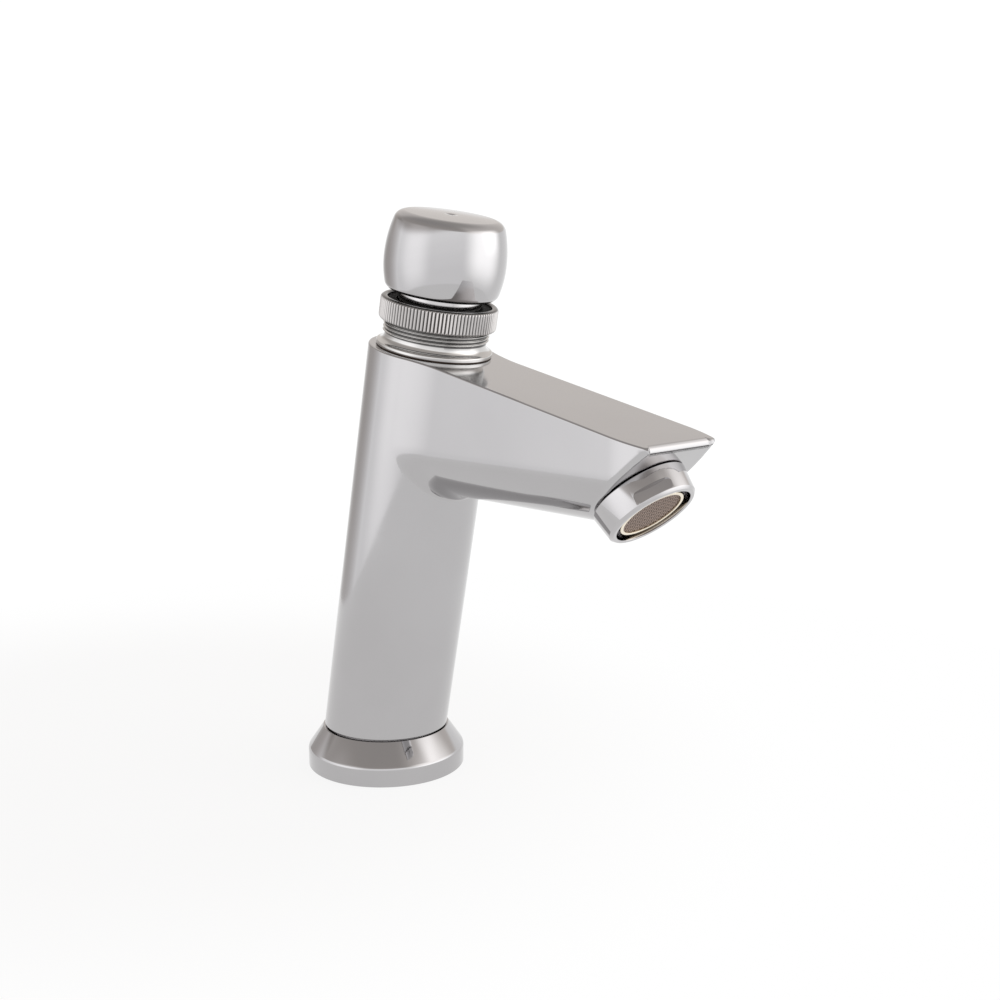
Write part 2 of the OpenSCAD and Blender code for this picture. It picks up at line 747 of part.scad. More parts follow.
base_ring();
base_seal();
tap_body();
inlet_strainer();
valve_seat();
seat_o_ring();
cartridge_sleeve();
sleeve_o_ring();
bleed_screw();
return_spring();
collar_gasket();
cartridge_collar();
guide_bush();
stem_wiper();
aerator_washer();
aerator_insert();
aerator_housing();
aerator_mesh();
aerator_ring();
ring_brake();
knurled_ring();
push_button();
button_stem();
stem_nut();
spindle();
piston();
piston_seal();
piston_clip();
washer_cup();
valve_washer();
washer_nut();
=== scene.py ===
import json
import math

import bmesh
import bpy
import numpy as np
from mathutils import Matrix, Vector


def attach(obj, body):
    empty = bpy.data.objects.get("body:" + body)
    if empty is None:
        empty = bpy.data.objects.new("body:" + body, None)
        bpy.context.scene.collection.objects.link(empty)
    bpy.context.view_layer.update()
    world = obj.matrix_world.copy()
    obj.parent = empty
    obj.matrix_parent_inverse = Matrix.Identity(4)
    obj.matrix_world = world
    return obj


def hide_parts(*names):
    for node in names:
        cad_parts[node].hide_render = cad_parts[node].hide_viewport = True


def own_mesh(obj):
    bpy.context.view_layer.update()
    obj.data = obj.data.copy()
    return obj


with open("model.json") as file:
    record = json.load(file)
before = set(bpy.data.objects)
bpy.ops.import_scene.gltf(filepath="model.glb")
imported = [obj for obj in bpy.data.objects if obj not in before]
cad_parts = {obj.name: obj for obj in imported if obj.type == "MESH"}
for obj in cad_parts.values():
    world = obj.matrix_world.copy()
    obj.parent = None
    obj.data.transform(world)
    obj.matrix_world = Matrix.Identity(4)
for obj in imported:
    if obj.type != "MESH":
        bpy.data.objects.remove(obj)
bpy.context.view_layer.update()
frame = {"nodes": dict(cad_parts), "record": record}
nodes = frame["nodes"]
mm = 0.001
weld = 1e-7   # points closer than this, in metres, become one
tiny = 1e-9   # least length that anything is divided by

# the two axes that everything on the tap sits on, in millimetres and degrees
tapAxes = {
    "lean": 11.6,            # column leans towards the spout
    "footZ": 12.0,           # column axis meets the base ring's top here
    "columnLength": 110.9,   # from there to the face under the cartridge
    "tipX": 107.8,           # front top edge of the spout, before its rounding
    "outletAngle": 47.6,     # aerator axis, below level
    "outletDrop": 18.5,      # down the front face from the tip to the aerator axis
}
leanAngle = math.radians(tapAxes["lean"])
outletAngle = math.radians(tapAxes["outletAngle"])
outletTurn = math.pi / 2 + outletAngle
axisDir = np.array((math.sin(leanAngle), 0, math.cos(leanAngle)))
outletDir = np.array((math.cos(outletAngle), 0, -math.sin(outletAngle)))
columnFoot = np.array((0, 0, tapAxes["footZ"]))
topPoint = columnFoot + axisDir * tapAxes["columnLength"]
tipZ = tapAxes["footZ"] + (tapAxes["columnLength"] - tapAxes["tipX"] * axisDir[0]) / axisDir[2]
outletPoint = np.array((
    tapAxes["tipX"] - tapAxes["outletDrop"] * math.sin(outletAngle), 0,
    tipZ - tapAxes["outletDrop"] * math.cos(outletAngle)))
print("frame loaded:", len(nodes), "nodes")

# places and lengths of the studio in metres
studio = {
    "cameraPlace": (0.304596, -0.249367, 0.145212),
    "cameraLook": (-0.70709, 0.68605, -0.17136),
    "lens": 50.64,
    "sensorWidth": 36,
    "clip": (0.01, 50),
    "discSides": 96,
    "floorRadius": 0.25,
    "floorColor": (0.93, 0.92, 0.92, 1),
    "floorRough": 0.9,
    # share of plain white glow in the floor, near its dullest spot and out at its rim; the lower share around
    # that spot is painted shade on the floor, which the chrome also mirrors
    "floorGlow": (0.86, 1.0),
    "glowCentre": (-0.06, -0.04, 0),
    "glowSpan": (0.08, 0.2),
    # sky tones by height, on the camera's side and behind the tap
    "skyLow": -0.3,
    "nearSky": (
        (-0.3, (1.12, 1.12, 1.13, 1)), (-0.15, (1.16, 1.16, 1.17, 1)), (0.05, (1.22, 1.22, 1.23, 1)),
        (0.27, (1.3, 1.3, 1.31, 1)), (0.39, (0.6, 0.57, 0.55, 1)),
        (0.62, (0.5, 0.47, 0.45, 1)), (1.0, (0.45, 0.43, 0.42, 1))),
    "farSky": (
        (-0.3, (1.04, 1.04, 1.04, 1)), (0.17, (1.04, 1.04, 1.04, 1)), (0.27, (0.82, 0.775, 0.74, 1)),
        (0.65, (0.8, 0.76, 0.73, 1)), (1.0, (0.5, 0.48, 0.46, 1))),
    "skyTurn": (-0.3, 0.25),
    # grey gauze hung to the left, thickest in the middle
    "gauzeFrom": (0.03, 0, 0.1),
    "gauzeWay": (-0.996, -0.07, 0.06),
    "gauzeAway": 1.2,
    "gauzeRadius": 0.81,
    "gauzeSpan": (0.83, 0.9945),
    "gauzeTone": (0.5, 0.475, 0.46, 1),
    "clearTone": (1, 1, 1, 1),
}

# glow is how bright a softbox's middle looks, edge how far in from its sides it is fading
softboxes = {
    "softLeft": {
        "place": (-0.139, -0.731, 0.13), "target": (0.03, 0, 0.13), "size": (1.2, 1.2),
        "glow": 0.38, "color": (1, 0.99, 1), "edge": (0.5, 0.45)},
    "softRight": {
        "place": (0.69, 0.45, 0.2), "target": (0.03, 0, 0.2), "size": (1.85, 1.4),
        "glow": 1.05, "color": (1, 1, 1), "edge": (0.48, 0.45)},
    "softNear": {
        "place": (0.155, 0.134, 0.184), "target": (0.09, 0, 0.075), "size": (0.22, 0.19),
        "glow": 0.6, "color": (1, 1, 1), "edge": (0.45, 0.45)},
}


def deselectAll():
    if bpy.context.object and bpy.context.object.mode != "OBJECT":
        bpy.ops.object.mode_set(mode="OBJECT")
    bpy.ops.object.select_all(action="DESELECT")


# shader steps that the studio and the finishes share
def newLook(name):
    look = bpy.data.materials.new(name)
    look.use_nodes = True
    tree = look.node_tree
    return look, tree, tree.nodes["Principled BSDF"]


def feed(tree, socket, value):
    # another node's output is linked, a constant is set on the socket itself
    if isinstance(value, bpy.types.NodeSocket):
        tree.links.new(value, socket)
    else:
        socket.default_value = value


def addMath(tree, kind, how, *values):
    node = tree.nodes.new(kind)
    node.operation = how
    for socket, value in zip(node.inputs, values):
        feed(tree, socket, value)
    return node


def easeBetween(tree, value, span, how="SMOOTHERSTEP", into=(0, 1)):
    ease = tree.nodes.new("ShaderNodeMapRange")
    ease.interpolation_type = how
    ease.inputs["From Min"].default_value, ease.inputs["From Max"].default_value = span
    ease.inputs["To Min"].default_value, ease.inputs["To Max"].default_value = into
    tree.links.new(value, ease.inputs["Value"])
    return ease.outputs["Result"]


def mixTones(tree, share, first, second):
    mix = tree.nodes.new("ShaderNodeMix")
    mix.data_type = "RGBA"
    sockets = {socket.identifier: socket for socket in (*mix.inputs, *mix.outputs)}
    feed(tree, sockets["Factor_Float"], share)
    feed(tree, sockets["A_Color"], first)
    feed(tree, sockets["B_Color"], second)
    return sockets["Result_Color"]


def makeCamera():
    deselectAll()
    turn = Vector(studio["cameraLook"]).to_track_quat("-Z", "Y").to_euler()
    bpy.ops.object.camera_add(location=studio["cameraPlace"], rotation=turn)
    camera = bpy.context.object
    camera.name = "photoCamera"
    camera.data.lens = studio["lens"]
    camera.data.sensor_width = studio["sensorWidth"]
    camera.data.clip_start, camera.data.clip_end = studio["clip"]
    bpy.context.scene.camera = camera


def fadeAcross(tree, value, edge):
    # 0 at both sides of the panel, 1 from edge inwards
    middle = 0.5
    fold = addMath(tree, "ShaderNodeMath", "PINGPONG", value, middle)
    return easeBetween(tree, fold.outputs[0], (0, edge))


def makeLamp(name, place, target, size, glow, color, edge):
    # a softbox that fades out towards its sides
    deselectAll()
    turn = (Vector(target) - Vector(place)).to_track_quat("-Z", "Y").to_euler()
    bpy.ops.object.light_add(type="AREA", location=place, rotation=turn)
    lamp = bpy.context.object
    lamp.name = name
    lamp.visible_camera = False
    lamp.data.shape = "RECTANGLE"
    lamp.data.size, lamp.data.size_y = size
    lamp.data.energy = glow * math.pi * size[0] * size[1]
    lamp.data.color = color
    lamp.data.use_nodes = True
    tree = lamp.data.node_tree
    where = tree.nodes.new("ShaderNodeNewGeometry")
    split = tree.nodes.new("ShaderNodeSeparateXYZ")
    tree.links.new(where.outputs["Parametric"], split.inputs[0])
    wide = fadeAcross(tree, split.outputs["X"], edge[0])
    high = fadeAcross(tree, split.outputs["Y"], edge[1])
    both = addMath(tree, "ShaderNodeMath", "MULTIPLY", wide, high)
    tree.links.new(both.outputs[0], tree.nodes["Emission"].inputs["Strength"])


def skyRamp(tree, height, tones):
    low, high = studio["skyLow"], 1
    ramp = tree.nodes.new("ShaderNodeValToRGB")
    ramp.color_ramp.interpolation = "EASE"
    stops = ramp.color_ramp.elements
    while len(stops) < len(tones):
        stops.new(0.5)
    for stop, (place, tone) in zip(stops, tones):
        stop.position = (place - low) / (high - low)
        stop.color = tone
    level = easeBetween(tree, height, (low, high), "LINEAR")
    tree.links.new(level, ramp.inputs["Fac"])
    return ramp.outputs["Color"]


def makeWorld():
    world = bpy.data.worlds.new("studioTent")
    bpy.context.scene.world = world
    world.use_nodes = True
    tree = world.node_tree
    tree.nodes.clear()
    coord = tree.nodes.new("ShaderNodeTexCoord")
    split = tree.nodes.new("ShaderNodeSeparateXYZ")
    tree.links.new(coord.outputs["Generated"], split.inputs[0])
    near = skyRamp(tree, split.outputs["Z"], studio["nearSky"])
    far = skyRamp(tree, split.outputs["Z"], studio["farSky"])
    tent = mixTones(tree, easeBetween(tree, split.outputs["Y"], studio["skyTurn"]), near, far)
    light = tree.nodes.new("ShaderNodeBackground")
    out = tree.nodes.new("ShaderNodeOutputWorld")
    tree.links.new(tent, light.inputs["Color"])
    tree.links.new(light.outputs[0], out.inputs["Surface"])


def makeGauze():
    # dulls what the chrome mirrors of the left side; like the lamps, it stays out of the picture
    middle, way = Vector(studio["gauzeFrom"]), Vector(studio["gauzeWay"]).normalized()
    deselectAll()
    bpy.ops.mesh.primitive_circle_add(
        vertices=studio["discSides"], radius=studio["gauzeRadius"], fill_type="NGON",
        location=middle + way * studio["gauzeAway"], rotation=way.to_track_quat("Z", "Y").to_euler())
    bpy.ops.object.transform_apply(location=True, rotation=True, scale=True)
    gauze = bpy.context.object
    gauze.name = "studioGauze"
    gauze.visible_camera = False
    look, tree, shader = newLook("greyGauze")
    tree.nodes.remove(shader)
    coord = tree.nodes.new("ShaderNodeTexCoord")
    offset = addMath(tree, "ShaderNodeVectorMath", "SUBTRACT", coord.outputs["Object"], middle)
    aim = addMath(tree, "ShaderNodeVectorMath", "NORMALIZE", offset.outputs["Vector"])
    facing = addMath(tree, "ShaderNodeVectorMath", "DOT_PRODUCT", aim.outputs["Vector"], way)
    thick = easeBetween(tree, facing.outputs["Value"], studio["gauzeSpan"], "LINEAR")
    veil = tree.nodes.new("ShaderNodeBsdfTransparent")
    feed(tree, veil.inputs["Color"], mixTones(tree, thick, studio["clearTone"], studio["gauzeTone"]))
    tree.links.new(veil.outputs[0], tree.nodes["Material Output"].inputs["Surface"])
    gauze.data.materials.append(look)


def makeFloor():
    deselectAll()
    bpy.ops.mesh.primitive_circle_add(
        vertices=studio["discSides"], radius=studio["floorRadius"], fill_type="NGON")
    floor = bpy.context.object
    floor.name = "studioFloor"
    look, tree, shader = newLook("floorPaper")
    shader.inputs["Base Color"].default_value = studio["floorColor"]
    shader.inputs["Roughness"].default_value = studio["floorRough"]
    shader.inputs["Specular IOR Level"].default_value = 0.0
    # white where it is looked at or mirrored, with the shadow kept
    ray = tree.nodes.new("ShaderNodeLightPath").outputs
    seen = addMath(tree, "ShaderNodeMath", "ADD", ray["Is Camera Ray"], ray["Is Glossy Ray"])
    passed = addMath(tree, "ShaderNodeMath", "ADD", seen.outputs[0], ray["Is Transmission Ray"])
    passed.use_clamp = True
    coord = tree.nodes.new("ShaderNodeTexCoord")
    # less white glow around glowCentre, left of the tap: painted shade on the floor, fading out to plain
    # white
    reach = addMath(tree, "ShaderNodeVectorMath", "DISTANCE", coord.outputs["Object"], studio["glowCentre"])
    white = easeBetween(tree, reach.outputs["Value"], studio["glowSpan"], "SMOOTHSTEP", studio["floorGlow"])
    share = addMath(tree, "ShaderNodeMath", "MULTIPLY", passed.outputs[0], white)
    glow = tree.nodes.new("ShaderNodeEmission")
    glow.inputs["Strength"].default_value = 1.0
    blend = tree.nodes.new("ShaderNodeMixShader")
    tree.links.new(share.outputs[0], blend.inputs["Fac"])
    tree.links.new(shader.outputs[0], blend.inputs[1])
    tree.links.new(glow.outputs[0], blend.inputs[2])
    tree.links.new(blend.outputs[0], tree.nodes["Material Output"].inputs["Surface"])
    floor.data.materials.append(look)


makeCamera()
makeWorld()
makeFloor()
makeGauze()
for lampName, softbox in softboxes.items():
    makeLamp(lampName, **softbox)
bpy.context.scene.view_settings.view_transform = "Standard"
print("studio set")


# finishes, one for each material slot of the record; scales are per metre, depths in millimetres
noiseSpan = (0.3, 0.7)   # most of a noise pattern lies between these
plate = {"patchScale": 55, "patchDetail": 3, "dark": 0.985, "light": 1.015,
         "hazeScale": 700, "hazeDetail": 4, "hazeRough": 0.7, "hazeDeep": 0.02}
lathe = {"patchScale": 120, "patchDetail": 4, "dark": 0.9, "waver": 0.6, "waverDetail": 2, "lineDeep": 0.05}
# paintedGrooveShade is the share of the tone left in the grooves: painted shade, not dirt
groove = {"patchScale": 240, "patchDetail": 4, "dark": 0.92, "paintedGrooveShade": 0.16, "fade": 0.3,
          "bump": 0.025, "bumpDeep": 0.03}
soft = {"mottleScale": 180, "mottleDetail": 5, "poreDetail": 3, "poreRough": 0.6, "poreDeep": 0.08}


def addNoise(tree, coord, scale, detail, rough=0.5):
    noise = tree.nodes.new("ShaderNodeTexNoise")
    noise.inputs["Scale"].default_value = scale
    noise.inputs["Detail"].default_value = detail
    noise.inputs["Roughness"].default_value = rough
    tree.links.new(coord, noise.inputs["Vector"])
    return noise.outputs["Fac"]


def addPolish(tree, shader, value, rough):
    spread = easeBetween(tree, value, noiseSpan, "LINEAR", rough)
    tree.links.new(spread, shader.inputs["Roughness"])


def addTint(tree, value, first, second):
    ramp = tree.nodes.new("ShaderNodeValToRGB")
    for stop, place, tone in zip(ramp.color_ramp.elements, noiseSpan, (first, second)):
        stop.position = place
        stop.color = (*tone, 1)
    tree.links.new(value, ramp.inputs["Fac"])
    return ramp.outputs["Color"]


def addBump(tree, shader, height, strength, depth):
    bump = tree.nodes.new("ShaderNodeBump")
    bump.inputs["Strength"].default_value = strength
    bump.inputs["Distance"].default_value = depth * mm
    tree.links.new(height, bump.inputs["Height"])
    tree.links.new(bump.outputs["Normal"], shader.inputs["Normal"])


def shade(tone, share):
    return tuple(c * share for c in tone)


def axisCoord(tree, turn=leanAngle, place=columnFoot):
    # object coordinates turned so that Z runs along a leaning axis
    coord = tree.nodes.new("ShaderNodeTexCoord")
    mapping = tree.nodes.new("ShaderNodeMapping")
    mapping.vector_type = "TEXTURE"
    mapping.inputs["Location"].default_value = Vector(place) * mm
    mapping.inputs["Rotation"].default_value = (0, turn, 0)
    tree.links.new(coord.outputs["Object"], mapping.inputs["Vector"])
    return mapping.outputs["Vector"]


def plateLook(name, tone, rough, peel):
    # chrome plate: polish that varies in soft patches, and a trace of orange peel
    look, tree, shader = newLook(name)
    coord = axisCoord(tree)
    shader.inputs["Metallic"].default_value = 1.0
    patch = addNoise(tree, coord, plate["patchScale"], plate["patchDetail"])
    haze = addNoise(tree, coord, plate["hazeScale"], plate["hazeDetail"], plate["hazeRough"])
    tint = addTint(tree, patch, shade(tone, plate["dark"]), shade(tone, plate["light"]))
    tree.links.new(tint, shader.inputs["Base Color"])
    addPolish(tree, shader, patch, rough)
    addBump(tree, shader, haze, peel, plate["hazeDeep"])
    return look


def turnedLook(name, tone, rough, lines, depth, turn=leanAngle, place=columnFoot):
    # metal cut on a lathe: fine rings along the axis over the polish
    look, tree, shader = newLook(name)
    coord = axisCoord(tree, turn, place)
    shader.inputs["Metallic"].default_value = 1.0
    wave = tree.nodes.new("ShaderNodeTexWave")
    wave.wave_type = "BANDS"
    wave.bands_direction = "Z"
    wave.inputs["Scale"].default_value = lines
    wave.inputs["Distortion"].default_value = lathe["waver"]
    wave.inputs["Detail"].default_value = lathe["waverDetail"]
    tree.links.new(coord, wave.inputs["Vector"])
    patch = addNoise(tree, coord, lathe["patchScale"], lathe["patchDetail"])
    tree.links.new(addTint(tree, patch, shade(tone, lathe["dark"]), tone), shader.inputs["Base Color"])
    addPolish(tree, shader, patch, rough)
    addBump(tree, shader, wave.outputs["Fac"], depth, lathe["lineDeep"])
    return look


def groovedLook(name, tone, rough, root, crest, start):
    # plated ribs or threads, with painted shade darkening the grooves above a height on the axis
    look, tree, shader = newLook(name)
    coord = axisCoord(tree)
    shader.inputs["Metallic"].default_value = 1.0
    flat = addMath(tree, "ShaderNodeVectorMath", "MULTIPLY", coord, (1, 1, 0))
    reach = addMath(tree, "ShaderNodeVectorMath", "LENGTH", flat.outputs["Vector"])
    split = tree.nodes.new("ShaderNodeSeparateXYZ")
    tree.links.new(coord, split.inputs[0])
    proud = easeBetween(tree, reach.outputs["Value"], (root * mm, crest * mm))
    below = easeBetween(tree, split.outputs["Z"], (start * mm, (start - groove["fade"]) * mm))
    # 1 on the crests and below the start height, 0 down in the grooves, where the shade is painted
    unshaded = addMath(tree, "ShaderNodeMath", "MAXIMUM", proud, below)
    patch = addNoise(tree, coord, groove["patchScale"], groove["patchDetail"])
    tint = addTint(tree, patch, shade(tone, groove["dark"]), tone)
    # painted shade: the tone darkened, standing in for the shade down in the grooves
    paintedGrooveShade = (*shade(tone, groove["paintedGrooveShade"]), 1)
    tree.links.new(mixTones(tree, unshaded.outputs[0], paintedGrooveShade, tint), shader.inputs["Base Color"])
    addPolish(tree, shader, patch, rough)
    addBump(tree, shader, patch, groove["bump"], groove["bumpDeep"])
    return look


def softLook(name, tone, other, rough, grain, depth):
    # rubber, plastic or fibre: mottled tone and a moulded or pressed grain
    look, tree, shader = newLook(name)
    coord = axisCoord(tree)
    mottle = addNoise(tree, coord, soft["mottleScale"], soft["mottleDetail"])
    pores = addNoise(tree, coord, grain, soft["poreDetail"], soft["poreRough"])
    tree.links.new(addTint(tree, mottle, tone, other), shader.inputs["Base Color"])
    addPolish(tree, shader, pores, rough)
    addBump(tree, shader, pores, depth, soft["poreDeep"])
    return look


def rubberLook(name, dark, light, rough, grain, depth):
    # black rubber or nylon, mottled between two greys
    return softLook(name, (dark, dark, dark), (light, light, light), rough, grain, depth)


plateTone = (0.468, 0.46, 0.465)
looks = {
    "body_chrome": plateLook("bodyPlate", plateTone, rough=(0.07, 0.12), peel=0.12),
    "base_chrome": plateLook("basePlate", plateTone, rough=(0.03, 0.06), peel=0.06),
    "aerator_chrome": plateLook("aeratorPlate", (0.49, 0.48, 0.485), rough=(0.04, 0.08), peel=0.06),
    "button_chrome": plateLook("buttonPlate", plateTone, rough=(0.06, 0.1), peel=0.08),
    "stem_chrome": plateLook("stemPlate", (0.56, 0.55, 0.55), rough=(0.08, 0.14), peel=0.1),
    "collar_chrome": groovedLook("threadPlate", (0.6, 0.59, 0.58), rough=(0.05, 0.09),
                                 root=13.7, crest=13.98, start=114.5),
    "ring_chrome": groovedLook("knurlPlate", (0.54, 0.52, 0.51), rough=(0.07, 0.13),
                               root=15.23, crest=15.6, start=0),
    "strainer_steel": turnedLook("strainerSteel", (0.45, 0.45, 0.43), rough=(0.25, 0.4),
                                 lines=500, depth=0.1, turn=0),
    "valve_brass": turnedLook("valveBrass", (0.72, 0.56, 0.28), rough=(0.2, 0.32), lines=800, depth=0.15),
    "sleeve_brass": turnedLook("sleeveBrass", (0.74, 0.58, 0.3), rough=(0.18, 0.3), lines=700, depth=0.15),
    "screw_brass": turnedLook("screwBrass", (0.7, 0.54, 0.27), rough=(0.2, 0.34), lines=900, depth=0.15),
    "nut_brass": turnedLook("nutBrass", (0.72, 0.56, 0.28), rough=(0.22, 0.36), lines=900, depth=0.12),
    "cap_brass": turnedLook("capBrass", (0.88, 0.79, 0.64), rough=(0.1, 0.18), lines=900, depth=0.06,
                            turn=outletTurn, place=outletPoint),
    "spring_steel": turnedLook("springSteel", (0.6, 0.6, 0.61), rough=(0.18, 0.3), lines=1500, depth=0.1),
    "nut_steel": turnedLook("nutSteel", (0.56, 0.56, 0.56), rough=(0.25, 0.4), lines=900, depth=0.12),
    "spindle_steel": turnedLook("spindleSteel", (0.6, 0.6, 0.61), rough=(0.12, 0.22), lines=1200, depth=0.1),
    "clip_steel": turnedLook("clipSteel", (0.36, 0.36, 0.38), rough=(0.25, 0.4), lines=900, depth=0.12),
    "mesh_steel": turnedLook("meshSteel", (0.27, 0.21, 0.18), rough=(0.25, 0.4), lines=1400, depth=0.1,
                             turn=outletTurn, place=outletPoint),
    "seal_rubber": rubberLook("sealRubber", 0.035, 0.06, rough=(0.55, 0.8), grain=1500, depth=0.3),
    "ring_rubber": rubberLook("ringRubber", 0.03, 0.05, rough=(0.4, 0.6), grain=1800, depth=0.2),
    "washer_rubber": rubberLook("washerRubber", 0.045, 0.07, rough=(0.55, 0.75), grain=1500, depth=0.3),
    "brake_plastic": rubberLook("brakePlastic", 0.006, 0.012, rough=(0.7, 0.9), grain=1400, depth=0.2),
    "gasket_fibre": softLook("gasketFibre", (0.05, 0.03, 0.02), (0.09, 0.055, 0.035),
                             rough=(0.6, 0.85), grain=2500, depth=0.4),
    "bush_plastic": softLook("bushPlastic", (0.8, 0.78, 0.72), (0.84, 0.82, 0.77),
                             rough=(0.35, 0.5), grain=1200, depth=0.1),
    "insert_plastic": softLook("insertPlastic", (0.42, 0.42, 0.41), (0.5, 0.5, 0.48),
                               rough=(0.4, 0.55), grain=1200, depth=0.15),
    "piston_plastic": softLook("pistonPlastic", (0.82, 0.8, 0.75), (0.87, 0.85, 0.8),
                               rough=(0.3, 0.45), grain=1200, depth=0.1),
}
slotOf = {sub["node"]: sub["material_slot"] for sub in frame["record"]["subparts"]}
for nodeName, node in nodes.items():
    node.data.materials.clear()
    node.data.materials.append(looks[slotOf[nodeName]])
print("materials made:", len(looks))


# modelling steps that several pieces share
def startPoint(name):
    # one vertex on the origin, ready to be drawn out
    deselectAll()
    bpy.ops.mesh.primitive_plane_add(size=mm)
    piece = bpy.context.object
    piece.name = name
    piece.data.name = name
    bpy.ops.object.mode_set(mode="EDIT")
    bpy.ops.mesh.select_all(action="SELECT")
    bpy.ops.mesh.merge(type="CENTER")
    return piece


def drawOutline(points):
    # a closed line through points of radius and height in millimetres
    first = Vector((points[0][0], 0, points[0][1])) * mm
    bpy.ops.transform.translate(value=first)
    here = first
    for radius, height in [*points[1:], points[0]]:
        there = Vector((radius, 0, height)) * mm
        bpy.ops.mesh.extrude_region_move(TRANSFORM_OT_translate={"value": there - here})
        here = there
    bpy.ops.mesh.select_all(action="SELECT")
    bpy.ops.mesh.remove_doubles(threshold=weld)


def turned(name, points, steps=192):
    # an outline spun round Z
    piece = startPoint(name)
    drawOutline(points)
    bpy.ops.mesh.select_all(action="SELECT")
    bpy.ops.mesh.spin(steps=steps, angle=2 * math.pi, center=(0, 0, 0), axis=(0, 0, 1), use_auto_merge=True)
    bpy.ops.mesh.select_all(action="SELECT")
    bpy.ops.mesh.remove_doubles(threshold=2 * weld)
    bpy.ops.mesh.normals_make_consistent(inside=False)
    bpy.ops.object.mode_set(mode="OBJECT")
    return piece


def wound(name, points, pitch, turns, steps):
    # an outline wound up Z into a helix with closed ends
    piece = startPoint(name)
    drawOutline(points)
    bpy.ops.object.mode_set(mode="OBJECT")
    screw = piece.modifiers.new("screw", "SCREW")
    screw.angle = 2 * math.pi
    screw.iterations = turns
    screw.screw_offset = pitch * mm
    screw.steps = screw.render_steps = steps
    applyAll(piece)
    bpy.ops.object.mode_set(mode="EDIT")
    bpy.ops.mesh.select_all(action="SELECT")
    bpy.ops.mesh.remove_doubles(threshold=weld)
    bpy.ops.mesh.fill_holes(sides=len(points))
    bpy.ops.mesh.normals_make_consistent(inside=False)
    bpy.ops.object.mode_set(mode="OBJECT")
    return piece


def bow(x, y, radius, start, end, count):
    # points along an arc, from one angle to another
    angles = [math.radians(start + (end - start) * i / count) for i in range(count + 1)]
    return [(x + radius * math.cos(a), y + radius * math.sin(a)) for a in angles]


def selectOnly(piece):
    deselectAll()
    piece.select_set(True)
    bpy.context.view_layer.objects.active = piece


def applyAll(piece):
    selectOnly(piece)
    for modifier in list(piece.modifiers):
        bpy.ops.object.modifier_apply(modifier=modifier.name)


def applyPlace():
    bpy.ops.object.transform_apply(location=True, rotation=True, scale=True)


def standOn(piece, turn, place):
    # from upright at the origin to its own axis, with the place kept in the mesh
    selectOnly(piece)
    piece.rotation_euler = (0, turn, 0)
    piece.location = Vector(place) * mm
    applyPlace()


def onColumn(piece):
    standOn(piece, leanAngle, columnFoot)


def onOutlet(piece):
    standOn(piece, outletTurn, outletPoint)


def finishPiece(piece, body, node, edge=35):
    # edges sharper than edge degrees stay crisp
    selectOnly(piece)
    bpy.ops.object.shade_smooth_by_angle(angle=math.radians(edge))
    piece.data.materials.clear()
    piece.data.materials.append(looks[slotOf[node]])
    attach(piece, body)
    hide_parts(node)
    print("piece", piece.name, len(piece.data.polygons), "faces")


# base ring: straight rim, cone, and a shadow gap under the column
baseRing = {
    "rim": 22.485, "rimTop": 4.6, "rimRound": 2.4, "footRound": 0.45, "coneTurn": 33, "height": 12.0,
    "gap": 0.35, "gapIn": 16.6, "lip": 17.965, "lipRound": 0.2, "bore": 14.05,
    "sealIn": 16.15, "sealOut": 19.65, "sealDeep": 1.6,
}


def makeBaseRing():
    b = baseRing
    gapLow = b["height"] - b["gap"]
    outline = [(b["bore"], 0), (b["sealIn"], 0), (b["sealIn"], b["sealDeep"]),
               (b["sealOut"], b["sealDeep"]), (b["sealOut"], 0)]
    outline += bow(b["rim"] - b["footRound"], b["footRound"], b["footRound"], -90, 0, 6)
    outline += bow(b["rim"] - b["rimRound"], b["rimTop"], b["rimRound"], 0, b["coneTurn"], 12)
    outline += bow(b["lip"], gapLow - b["lipRound"], b["lipRound"], b["coneTurn"], 90, 5)
    outline += [(b["gapIn"], gapLow), (b["gapIn"], b["height"]), (b["bore"], b["height"])]
    piece = turned("baseRing", outline)
    finishPiece(piece, "tap", "base_ring")


makeBaseRing()


# body: column and spout in one casting, run together with a soft fillet
bodyShell = {
    "column": 17.5, "spout": 14.25, "spoutAxisZ": 96.75, "rootX": 17.4,
    "blendColumn": 5.87, "blendSpout": 2.09,
    "noseLength": 10.8, "noseRound": 30.0, "noseLimit": 27.0, "frontRound": 1.4,
    "rimRound": 0.5, "tipRound": 1.42, "tipGrow": 2, "footRound": 0.3, "rimDepth": 1.6, "rimRings": 5,
    "voxel": 0.6, "settle": 8, "snap": 0.15,
    "columnOver": 8, "spoutOver": 12, "boreOver": 2,   # what is cut off again, or cuts past a face
    "spigot": 14.0, "spigotSunk": 1.0, "inlet": 9.3, "inletLip": 0.6, "inletDeep": 14.0,
    "strainer": 8.35, "strainerTop": 15.2, "riser": 6.0, "core": 13.3, "coreLow": 8.04, "coreHigh": 52.02,
    "valve": 9.8, "valveLow": 56.02, "chamber": 11.0, "chamberLow": 70.02,
    "socket": 13.0, "socketLow": 101.5,
    "water": 5.5, "waterZ": 94.5, "waterFrom": 16.93, "waterTo": 89.01,
    "outlet": 9.95, "outletDeep": 7.6,
    "boreSides": 128, "waterSides": 96,
    "onWall": 0.01, "onTop": 0.002, "levelTop": 0.9999, "facing": 0.6,   # what counts as lying on the outside
}


def columnGap(spots):
    away = spots - columnFoot
    away = away - np.outer(away @ axisDir, axisDir)
    reach = np.linalg.norm(away, axis=1)
    return reach - bodyShell["column"], away / reach[:, None]


